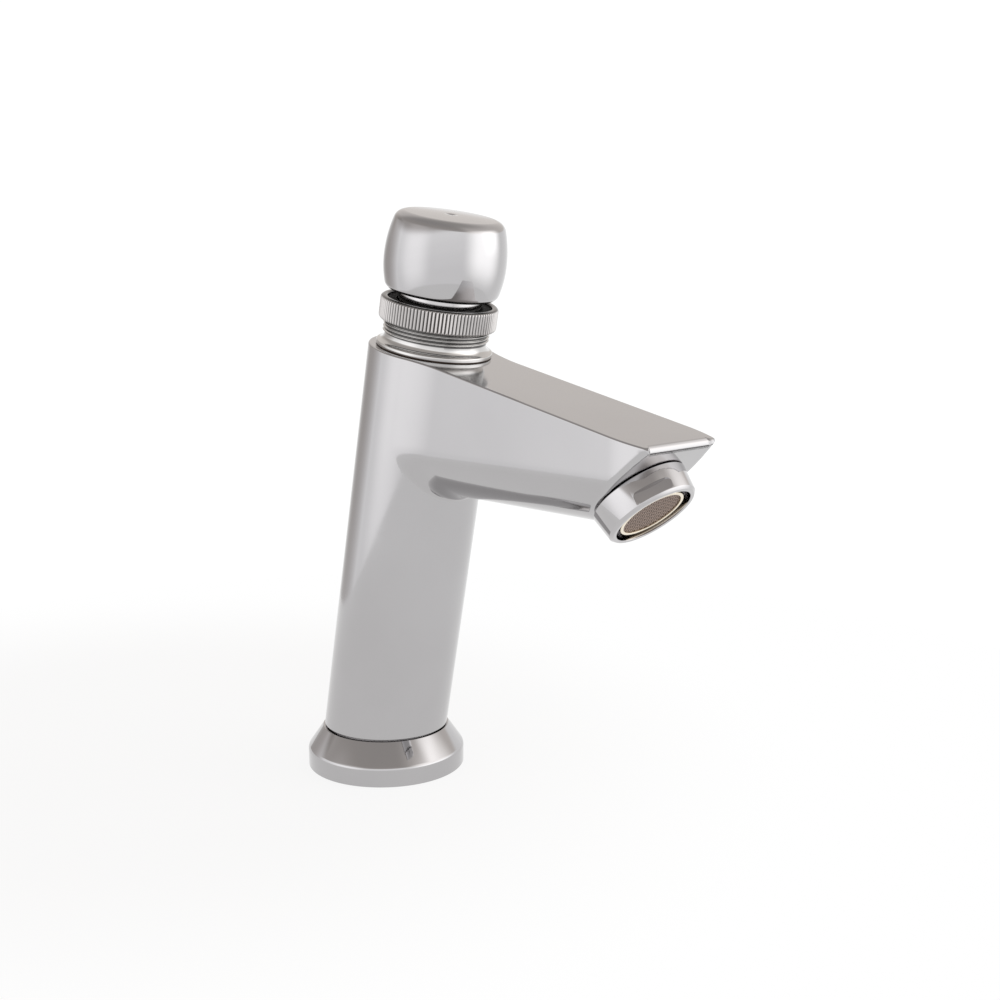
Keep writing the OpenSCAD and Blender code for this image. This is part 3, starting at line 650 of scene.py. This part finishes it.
def spoutGap(spots):
    # flat sides over a half-round underside, drawn in towards the front face and rounded into it
    b = bodyShell
    corner = b["frontRound"]
    side = np.zeros_like(spots)
    side[:, 1] = spots[:, 1]
    side[:, 2] = np.minimum(spots[:, 2] - b["spoutAxisZ"], 0)
    reach = np.maximum(np.linalg.norm(side, axis=1), tiny)
    side /= reach[:, None]
    along = np.clip(spots[:, 0] - tapAxes["tipX"] + b["noseLength"], 0, b["noseLimit"])
    root = np.sqrt(b["noseRound"] ** 2 - along ** 2)
    side[:, 0] = along / root
    steep = np.linalg.norm(side, axis=1)
    side /= steep[:, None]
    wall = (reach - b["spout"] + b["noseRound"] - root) / steep
    face = (spots - outletPoint) @ outletDir
    over, ahead = np.maximum(wall + corner, 0), np.maximum(face + corner, 0)
    away = np.maximum(np.hypot(over, ahead), tiny)
    onCorner = (over > 0) & (ahead > 0)
    gap = np.where(onCorner, away - corner, np.maximum(wall, face))
    turn = (over[:, None] * side + ahead[:, None] * outletDir) / away[:, None]
    turn = np.where(onCorner[:, None], turn, np.where((wall > face)[:, None], side, outletDir))
    back = b["rootX"] - spots[:, 0]
    turn = np.where((back > gap)[:, None], np.array((-1.0, 0, 0)), turn)
    return np.maximum(gap, back), turn


def bodyGap(spots):
    # below zero inside the casting; the two forms meet in an elliptical fillet
    first, second = bodyShell["blendColumn"], bodyShell["blendSpout"]
    columnAway, columnSlope = columnGap(spots)
    spoutAway, spoutSlope = spoutGap(spots)
    a, b = np.maximum(0, 1 - columnAway / first), np.maximum(0, 1 - spoutAway / second)
    size = np.maximum(np.hypot(a, b), tiny)
    slope = (a[:, None] * columnSlope / first + b[:, None] * spoutSlope / second) / size[:, None]
    return 1 - size, slope


def settle(spots):
    # draws points onto the outside of the casting
    for _ in range(bodyShell["settle"]):
        gap, slope = bodyGap(spots)
        spots = spots - (gap / np.maximum((slope ** 2).sum(axis=1), tiny))[:, None] * slope
    return spots


def wallNormal(spots):
    slope = bodyGap(spots)[1]
    return slope / np.linalg.norm(slope, axis=1)[:, None]


def readSpots(mesh):
    spots = np.empty(len(mesh.vertices) * 3)
    mesh.vertices.foreach_get("co", spots)
    return spots.reshape(-1, 3) / mm


def writeSpots(mesh, spots):
    mesh.vertices.foreach_set("co", (spots * mm).ravel())
    mesh.update()


def addRod(radius, low, high, sides=bodyShell["boreSides"]):
    deselectAll()
    bpy.ops.mesh.primitive_cylinder_add(vertices=sides, radius=radius * mm, depth=(high - low) * mm,
                                        location=(0, 0, (low + high) / 2 * mm))
    applyPlace()
    return bpy.context.object


def addBlock(low, high):
    low, high = np.array(low), np.array(high)
    deselectAll()
    bpy.ops.mesh.primitive_cube_add(size=1, location=(low + high) / 2 * mm, scale=(high - low) * mm)
    applyPlace()
    return bpy.context.object


def slicePiece(piece, point, normal, fill):
    selectOnly(piece)
    bpy.ops.object.mode_set(mode="EDIT")
    bpy.ops.mesh.select_all(action="SELECT")
    bpy.ops.mesh.bisect(plane_co=Vector(point) * mm, plane_no=Vector(normal), use_fill=fill,
                        clear_outer=True, threshold=weld / 10)
    bpy.ops.object.mode_set(mode="OBJECT")


def joinPieces(pieces, name):
    deselectAll()
    for piece in pieces:
        piece.select_set(True)
    bpy.context.view_layer.objects.active = pieces[0]
    bpy.ops.object.join()
    pieces[0].name = name
    pieces[0].data.name = name
    return pieces[0]


def carve(piece, cutter, how="DIFFERENCE"):
    boolean = piece.modifiers.new("carve", "BOOLEAN")
    boolean.operation = how
    boolean.solver = "EXACT"
    boolean.object = cutter
    applyAll(piece)
    bpy.data.objects.remove(cutter, do_unlink=True)


def snapToPlane(spots, point, normal):
    # slides points that nearly touch a cutting plane along the wall onto it, so no slivers are left
    off = (spots - point) @ normal
    near = np.abs(off) < bodyShell["snap"]
    wall = wallNormal(spots[near])
    lift = normal - (wall @ normal)[:, None] * wall
    spots[near] -= (off[near] / (lift @ normal))[:, None] * lift
    return spots


def orderedLoop(edges):
    after = {}
    for edge in edges:
        a, b = edge.verts
        after.setdefault(a, []).append(b)
        after.setdefault(b, []).append(a)
    loop, last = [edges[0].verts[0]], None
    while True:
        ahead = [v for v in after[loop[-1]] if v is not last]
        last = loop[-1]
        if ahead[0] is loop[0]:
            return loop
        loop.append(ahead[0])


def rimSpots(spots, point, normal, radius):
    # rolls the wall over a rounded edge into the flat face of a plane
    edge = spots.copy()
    for _ in range(3 * bodyShell["settle"]):
        edge -= np.outer((edge - point) @ normal, normal)
        gap, slope = bodyGap(edge)
        slope -= np.outer(slope @ normal, normal)
        edge -= (gap / (slope ** 2).sum(axis=1))[:, None] * slope
    wall = wallNormal(edge)
    lean = wall @ normal
    size = radius(lean)
    centre = edge - (size / (1 + lean))[:, None] * (wall + normal)
    angle = np.arccos(lean)
    rings = []
    for step in range(bodyShell["rimRings"] + 1):
        share = step / bodyShell["rimRings"]
        turn = np.sin((1 - share) * angle)[:, None] * wall + np.sin(share * angle)[:, None] * normal
        turn /= np.sin(angle)[:, None]
        ring = centre + size[:, None] * turn
        rings.append((settle(ring) if step == 0 else ring, turn))
    return rings


def closeRim(mesh, point, normal, radius, known):
    # fillet rings and a flat face on one open end of the shell
    work = bmesh.new()
    work.from_mesh(mesh)
    deep = point - normal * bodyShell["rimDepth"]
    edges = [e for e in work.edges if e.is_boundary
             and all(abs((np.array(v.co) / mm - deep) @ normal) < bodyShell["onWall"] for v in e.verts)]
    loop = orderedLoop(edges)
    for spots, turn in rimSpots(np.array([v.co for v in loop]) / mm, point, normal, radius):
        ring = [work.verts.new(spot * mm) for spot in spots]
        for i in range(len(loop)):
            j = (i + 1) % len(loop)
            work.faces.new((loop[i], loop[j], ring[j], ring[i]))
        known.append((spots, turn))
        loop = ring
    work.faces.new(loop)
    bmesh.ops.recalc_face_normals(work, faces=work.faces)
    work.to_mesh(mesh)
    work.free()


def bodyCutters():
    b = bodyShell
    over, lip = b["boreOver"], b["inletLip"]
    top = tapAxes["columnLength"] + over
    bores = turned("columnBores", [
        (0, 0), (b["riser"], 0), (b["riser"], b["coreLow"]), (b["core"], b["coreLow"]),
        (b["core"], b["coreHigh"]), (b["riser"], b["coreHigh"]), (b["riser"], b["valveLow"]),
        (b["valve"], b["valveLow"]), (b["valve"], b["chamberLow"]), (b["chamber"], b["chamberLow"]),
        (b["chamber"], b["socketLow"]), (b["socket"], b["socketLow"]), (b["socket"], top), (0, top)],
        b["boreSides"])
    onColumn(bores)
    inlet = turned("inletBore", [
        (0, -over), (b["inlet"] + lip + over, -over), (b["inlet"], lip), (b["inlet"], b["inletDeep"]),
        (b["strainer"], b["inletDeep"]), (b["strainer"], b["strainerTop"]), (0, b["strainerTop"])],
        b["boreSides"])
    water = addRod(b["water"], b["waterFrom"], b["waterTo"], b["waterSides"])
    standOn(water, math.pi / 2, (0, 0, b["waterZ"]))
    outlet = addRod(b["outlet"], -b["outletDeep"], over)
    onOutlet(outlet)
    for bore in (inlet, water, outlet):
        carve(bores, bore, "UNION")
    return bores


def spotKey(spot):
    return tuple(np.round(spot, 3))   # to a thousandth of a millimetre


def dressNormals(mesh, known):
    # exact shading normals for the polished outside, so that reflections run clean across it
    b = bodyShell
    rims = {}
    for spots, turn in known:
        for spot, normal in zip(spots, turn):
            rims[spotKey(spot)] = normal
    spots = readSpots(mesh)
    gap, slope = bodyGap(spots)
    steep = np.maximum(np.linalg.norm(slope, axis=1), tiny)
    onWall = np.abs(gap / steep) < b["onWall"]
    aim = np.where(onWall[:, None], slope / steep[:, None], 0)
    for i, spot in enumerate(spots):
        found = rims.get(spotKey(spot))
        if found is not None:
            aim[i] = found
            onWall[i] = True
    top = np.abs((spots - topPoint) @ axisDir) < b["onTop"]
    custom = np.zeros((len(mesh.loops), 3))
    for face in mesh.polygons:
        corners = list(face.vertices)
        loops = slice(face.loop_start, face.loop_start + face.loop_total)
        facing = np.array(face.normal)
        if facing @ axisDir > b["levelTop"] and top[corners].all():
            custom[loops] = axisDir
        elif onWall[corners].all() and (aim[corners] @ facing > b["facing"]).all():
            custom[loops] = aim[corners]
    mesh.normals_split_custom_set(custom.tolist())


def topRadius(lean):
    # the top edge is rounder at the spout's tip, where the front face leans away under it
    b = bodyShell
    return b["rimRound"] + (b["tipRound"] - b["rimRound"]) * np.clip(-lean * b["tipGrow"], 0, 1)


def footRadius(lean):
    return np.full(len(lean), bodyShell["footRound"])


def makeBodyShell():
    b = bodyShell
    column = addRod(b["column"], -b["columnOver"], tapAxes["columnLength"] + b["columnOver"])
    onColumn(column)
    frontX = tapAxes["tipX"] + b["spoutOver"]
    belly = addRod(b["spout"], b["rootX"], frontX)
    standOn(belly, math.pi / 2, (0, 0, b["spoutAxisZ"]))
    slab = addBlock((b["rootX"], -b["spout"], b["spoutAxisZ"]),
                    (frontX, b["spout"], topPoint[2] + b["spoutOver"]))
    for block in (belly, slab):
        slicePiece(block, outletPoint, outletDir, True)
    piece = joinPieces([column, belly, slab], "bodyShell")
    remesh = piece.modifiers.new("remesh", "REMESH")
    remesh.mode = "VOXEL"
    remesh.voxel_size = b["voxel"] * mm
    applyAll(piece)
    ends = ((topPoint, axisDir, topRadius), (columnFoot, np.array((0, 0, -1.0)), footRadius))
    spots = settle(readSpots(piece.data))
    for point, normal, _ in ends:
        spots = snapToPlane(spots, point - normal * b["rimDepth"], normal)
    writeSpots(piece.data, settle(spots))
    for point, normal, _ in ends:
        slicePiece(piece, point - normal * b["rimDepth"], normal, False)
    known = []
    for point, normal, radius in ends:
        closeRim(piece.data, point, normal, radius, known)
    print("body shell closed:", len(piece.data.polygons), "faces")
    carve(piece, addRod(b["spigot"], 0, tapAxes["footZ"] + b["spigotSunk"]), "UNION")
    carve(piece, bodyCutters())
    finishPiece(piece, "tap", "tap_body")
    dressNormals(piece.data, known)


makeBodyShell()


# cartridge collar: flange, hollow neck and the helical thread for the stop ring
collar = {
    "bore": 11.6, "low": 104.0, "spigot": 12.95, "spigotBevel": 0.3,
    "flange": 15.55, "flangeLow": 111.1, "flangeTop": 112.2, "underRound": 0.15, "flangeRound": 0.3,
    "neck": 13.65, "neckLow": 114.0, "coveStart": 262, "top": 120.1, "topBevel": 0.2,
    "bushSeat": 12.4, "bushLow": 113.6,
    "crest": 14.2, "crestBevel": 0.04, "ridgeSunk": 0.12,
    "ridgeFoot": 0.04, "bevelLow": 0.4, "crestLow": 0.46,   # heights up one side of the ridge
    "pitch": 1.0, "turns": 5, "threadSteps": 120, "threadLow": 114.1, "threadStart": 130,
}


def makeThreadRidge():
    c = collar
    flank = [(c["neck"] - c["ridgeSunk"], c["ridgeFoot"]), (c["crest"] - c["crestBevel"], c["bevelLow"]),
             (c["crest"], c["crestLow"])]
    outline = flank + [(radius, c["pitch"] - height) for radius, height in reversed(flank)]
    ridge = wound("threadRidge", outline, c["pitch"], c["turns"], c["threadSteps"])
    ridge.rotation_euler = (0, 0, math.radians(c["threadStart"]))
    ridge.location = (0, 0, c["threadLow"] * mm)
    applyPlace()
    return ridge


def makeCollar():
    c = collar
    rise = c["neckLow"] - c["flangeTop"]
    bevel, under, rim = c["spigotBevel"], c["underRound"], c["flangeRound"]
    outline = [(c["bore"], c["low"]), (c["spigot"] - bevel, c["low"]), (c["spigot"], c["low"] + bevel),
               (c["spigot"], c["flangeLow"])]
    outline += bow(c["flange"] - under, c["flangeLow"] + under, under, -90, 0, 4)
    outline += bow(c["flange"] - rim, c["flangeTop"] - rim, rim, 0, 90, 5)
    outline += bow(c["neck"] + rise, c["flangeTop"] + rise, rise, c["coveStart"], 180, 12)
    outline += [(c["neck"], c["top"] - c["topBevel"]), (c["neck"] - c["topBevel"], c["top"]),
                (c["bushSeat"], c["top"]), (c["bushSeat"], c["bushLow"]), (c["bore"], c["bushLow"])]
    piece = turned("collar", outline)
    carve(piece, makeThreadRidge(), "UNION")
    onColumn(piece)
    finishPiece(piece, "tap", "cartridge_collar", edge=28)


makeCollar()


# fibre gasket squeezed under the flange
gasket = {"inner": 13.1, "outer": 15.2, "low": 110.9, "top": 111.1, "steps": 160}


def makeGasket():
    g = gasket
    half = (g["top"] - g["low"]) / 2
    outline = [(g["inner"], g["low"])]
    outline += bow(g["outer"], g["low"] + half, half, -90, 90, 6)
    outline += [(g["inner"], g["top"])]
    piece = turned("flangeGasket", outline, g["steps"])
    onColumn(piece)
    finishPiece(piece, "tap", "collar_gasket")


makeGasket()


# knurled stop ring: straight ribs between rounded rims
stopRing = {
    "low": 117.9, "top": 124.05, "outer": 15.65, "bore": 14.25, "mouth": 13.85, "lip": 0.7,
    "outerRound": 0.9, "mouthRound": 0.45, "ribs": 100, "ribSteps": 8, "ribDeep": 0.42, "ribSoft": 0.05,
}


def makeStopRing():
    r = stopRing
    rim, edge = r["outerRound"], r["mouthRound"]
    outline = bow(r["bore"] + edge, r["low"] + edge, edge, 180, 270, 6)
    outline += bow(r["outer"] - rim, r["low"] + rim, rim, 270, 360, 14)
    outline += bow(r["outer"] - rim, r["top"] - rim, rim, 0, 90, 14)
    outline += bow(r["mouth"] + edge, r["top"] - edge, edge, 90, 180, 8)
    outline += [(r["mouth"], r["top"] - r["lip"]), (r["bore"], r["top"] - r["lip"])]
    piece = turned("knurledRing", outline, r["ribs"] * r["ribSteps"])
    # grooves pressed in between the ribs
    spots = readSpots(piece.data)
    reach = np.hypot(spots[:, 0], spots[:, 1])
    pitch = 2 * math.pi / r["ribs"]
    across = (np.arctan2(spots[:, 1], spots[:, 0]) / pitch) % 1 - 0.5
    grooved = r["outer"] - r["ribDeep"] + np.hypot(across * pitch * r["outer"], r["ribSoft"])
    spots[:, :2] *= (np.minimum(reach, grooved) / reach)[:, None]
    writeSpots(piece.data, spots)
    onColumn(piece)
    finishPiece(piece, "stop_ring", "knurled_ring", edge=40)


makeStopRing()


# push button: barrel sides, rounded crown, slightly domed top with a centre mark
button = {
    "low": 125.95, "height": 20.74, "belly": 16.13, "bellyHeight": 8.5, "lowerArc": 25.7, "upperArc": 33.9,
    "skirtRound": 2.2, "crownRound": 3.0, "crownRise": 0.25, "domeSteps": 16,
    "markHalf": 1.3, "markDeep": 0.42, "markClear": 0.3, "markLip": 0.12, "lipDrop": 0.01, "lipTurn": 3,
    "bore": 11.15, "boreTop": 14.05, "room": 9.5, "roomTop": 17.25,
}


def innerArc(x, reach, rise):
    # angle and x of a rounding's centre that lies rise above an arc's centre and reach away from it
    angle = math.asin(rise / reach)
    return math.degrees(angle), x + reach * math.cos(angle)


def makeButton():
    b = button
    low, crown, mark = b["skirtRound"], b["crownRound"], b["markHalf"]
    lowX, highX = b["belly"] - b["lowerArc"], b["belly"] - b["upperArc"]
    crownY = b["height"] - b["crownRise"] - crown
    skirtAngle, skirtX = innerArc(lowX, b["lowerArc"] - low, low - b["bellyHeight"])
    crownAngle, crownX = innerArc(highX, b["upperArc"] - crown, crownY - b["bellyHeight"])
    dome = (crownX ** 2 + b["crownRise"] ** 2) / (2 * b["crownRise"])
    markBall = (mark ** 2 + b["markDeep"] ** 2) / (2 * b["markDeep"])
    markAngle = math.degrees(math.asin(mark / markBall)) - b["lipTurn"]
    outline = [(b["bore"], 0)]
    outline += bow(skirtX, low, low, -90, skirtAngle, 20)
    outline += bow(lowX, b["bellyHeight"], b["lowerArc"], skirtAngle, 0, 24)[1:]
    outline += bow(highX, b["bellyHeight"], b["upperArc"], 0, crownAngle, 32)[1:]
    outline += bow(crownX, crownY, crown, crownAngle, 90, 28)[1:]
    for i in range(1, b["domeSteps"]):
        x = crownX * (1 - i / b["domeSteps"])
        if x > mark + b["markClear"]:
            outline.append((x, b["height"] - dome + math.sqrt(dome ** 2 - x ** 2)))
    outline.append((mark + b["markLip"], b["height"] - b["lipDrop"]))
    outline += bow(0, b["height"] + markBall - b["markDeep"], markBall, 270 + markAngle, 270, 10)
    outline += [(0, b["roomTop"]), (b["room"], b["roomTop"]), (b["room"], b["boreTop"]),
                (b["bore"], b["boreTop"])]
    piece = turned("pushButton", outline)
    standOn(piece, leanAngle, columnFoot + axisDir * b["low"])
    finishPiece(piece, "plunger", "push_button", edge=40)


makeButton()


# aerator housing: threaded shank, shadow line at the face, tapered collar with two milled flats
housing = {
    "bore": 8.6, "back": -5.4, "backBevel": 0.4, "neck": 10.35, "neckTop": 0.2, "root": 12.27, "outer": 11.53,
    "thread": 9.9, "threadDeep": 0.35, "threadTurns": 5, "pitch": 1.0,
    "crestSpan": (0.4, 0.7), "rootSpan": (0.95, 1.15),   # heights in one turn of the thread
    "front": 7.05, "chamfer": 0.7, "rootRound": 0.25, "edgeRound": 0.3, "edgeDrop": 0.1, "edgeIn": 0.12,
    "sideTurn": 40, "faceTurn": 50, "mouth": 9.9, "mouthLow": 2.5, "mouthRound": 0.15,
    "flatLow": 3.45, "flatTop": 6.2, "flatHalf": 10.65, "flatWide": 4.9, "flatTurns": (216, 36),
    "flatCorner": 1.1, "cornerSteps": 6, "flatOver": 2,
}


def makeFlatCutter(turn):
    # a block with the four edges that point outwards rounded off
    h = housing
    cutter = addBlock((h["flatHalf"], -h["flatWide"], h["flatLow"]),
                      (h["root"] + h["flatOver"], h["flatWide"], h["flatTop"]))
    work = bmesh.new()
    work.from_mesh(cutter.data)
    outward = [e for e in work.edges if abs(e.verts[0].co.x - e.verts[1].co.x) > mm]
    bmesh.ops.bevel(work, geom=outward, offset=h["flatCorner"] * mm, segments=h["cornerSteps"],
                    profile=0.5, affect="EDGES")
    bmesh.ops.recalc_face_normals(work, faces=work.faces)
    work.to_mesh(cutter.data)
    work.free()
    cutter.rotation_euler = (0, 0, math.radians(turn))
    selectOnly(cutter)
    applyPlace()
    return cutter


def makeHousing():
    h = housing
    valley = h["thread"] - h["threadDeep"]
    edge, mouth, foot = h["edgeRound"], h["mouthRound"], h["rootRound"]
    outline = [(h["bore"], h["back"]), (h["thread"] - h["backBevel"], h["back"])]
    for turn in range(h["threadTurns"]):
        start = h["back"] + turn * h["pitch"]
        outline += [(h["thread"], start + height) for height in h["crestSpan"]]
        outline += [(valley, start + height) for height in h["rootSpan"]]
    outline += [(valley, 0), (h["neck"], 0), (h["neck"], h["neckTop"])]
    outline += bow(h["root"] - foot, h["neckTop"] + foot, foot, -90, 0, 5)
    outline += bow(h["outer"] - edge, h["front"] - h["chamfer"] - h["edgeDrop"], edge, 0, h["sideTurn"], 4)
    outline += bow(h["outer"] - h["chamfer"] - h["edgeIn"], h["front"] - edge, edge, h["faceTurn"], 90, 4)
    outline += bow(h["mouth"] + mouth, h["front"] - mouth, mouth, 90, 180, 4)
    outline += [(h["mouth"], h["mouthLow"]), (h["bore"], h["mouthLow"])]
    piece = turned("aeratorHousing", outline)
    for turn in h["flatTurns"]:
        carve(piece, makeFlatCutter(turn))
    onOutlet(piece)
    finishPiece(piece, "tap", "aerator_housing", edge=30)


makeHousing()


# brass cap ring that clamps the mesh
capRing = {
    "inner": 7.95, "outer": 8.5, "low": 3.8, "top": 6.4, "mouth": 7.65, "lipLow": 6.0,
    "outerRound": 0.2, "mouthRound": 0.1, "steps": 160,
}


def makeCapRing():
    c = capRing
    rim, edge = c["outerRound"], c["mouthRound"]
    outline = [(c["inner"], c["low"]), (c["outer"], c["low"])]
    outline += bow(c["outer"] - rim, c["top"] - rim, rim, 0, 90, 6)
    outline += bow(c["mouth"] + edge, c["top"] - edge, edge, 90, 180, 5)
    outline += [(c["mouth"], c["lipLow"]), (c["inner"], c["lipLow"])]
    piece = turned("capRing", outline, c["steps"])
    onOutlet(piece)
    finishPiece(piece, "tap", "aerator_ring")


makeCapRing()


# woven wire mesh: two sets of wires that pass over and under each other
wireMesh = {"reach": 7.86, "pitch": 0.74, "wire": 0.14, "steps": 4, "level": 5.8, "weave": 0.1, "turn": 24}


def makeWires(across):
    w = wireMesh
    pitch = w["pitch"] * mm
    gaps = 2 * int(w["reach"] / w["pitch"])
    deselectAll()
    bpy.ops.mesh.primitive_grid_add(x_subdivisions=gaps * w["steps"], y_subdivisions=gaps, size=gaps * pitch)
    wires = bpy.context.object
    work = bmesh.new()
    work.from_mesh(wires.data)
    rungs = [e for e in work.edges if abs(e.verts[0].co.y - e.verts[1].co.y) > pitch / 2]
    bmesh.ops.delete(work, geom=rungs, context="EDGES")
    far = [v for v in work.verts if v.co.xy.length > w["reach"] * mm]
    bmesh.ops.delete(work, geom=far, context="VERTS")
    for v in work.verts:
        row = round(v.co.y / pitch)
        side = 1 if (row + across) % 2 else -1
        v.co.z = (w["level"] + side * w["weave"] * math.cos(math.pi * v.co.x / pitch)) * mm
    work.to_mesh(wires.data)
    work.free()
    bpy.ops.object.convert(target="CURVE")
    wires.data.bevel_depth = w["wire"] * mm
    wires.data.bevel_resolution = 1
    wires.data.use_fill_caps = True
    bpy.ops.object.convert(target="MESH")
    wires.rotation_euler = (0, 0, math.radians(w["turn"] + 90 * across))
    applyPlace()
    return wires


def makeMesh():
    piece = joinPieces([makeWires(0), makeWires(1)], "wireMesh")
    onOutlet(piece)
    finishPiece(piece, "tap", "aerator_mesh", edge=60)


makeMesh()


# return spring: one round wire, wound unsqueezed; the button squeezes it when it goes down
spring = {
    "middle": 10.2, "wire": 0.6, "low": 104.0, "length": 9.3, "coils": 4, "sides": 14, "steps": 72,
    "travel": 2.0,
}


def makeSpring():
    c = spring
    pitch = (c["length"] - 2 * c["wire"]) / c["coils"]
    outline = bow(c["middle"], c["low"] + c["wire"], c["wire"], 0, 360, c["sides"])[:-1]
    piece = wound("returnSpring", outline, pitch, c["coils"], c["steps"])
    onColumn(piece)
    finishPiece(piece, "tap", "return_spring", edge=60)
    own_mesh(piece)


makeSpring()
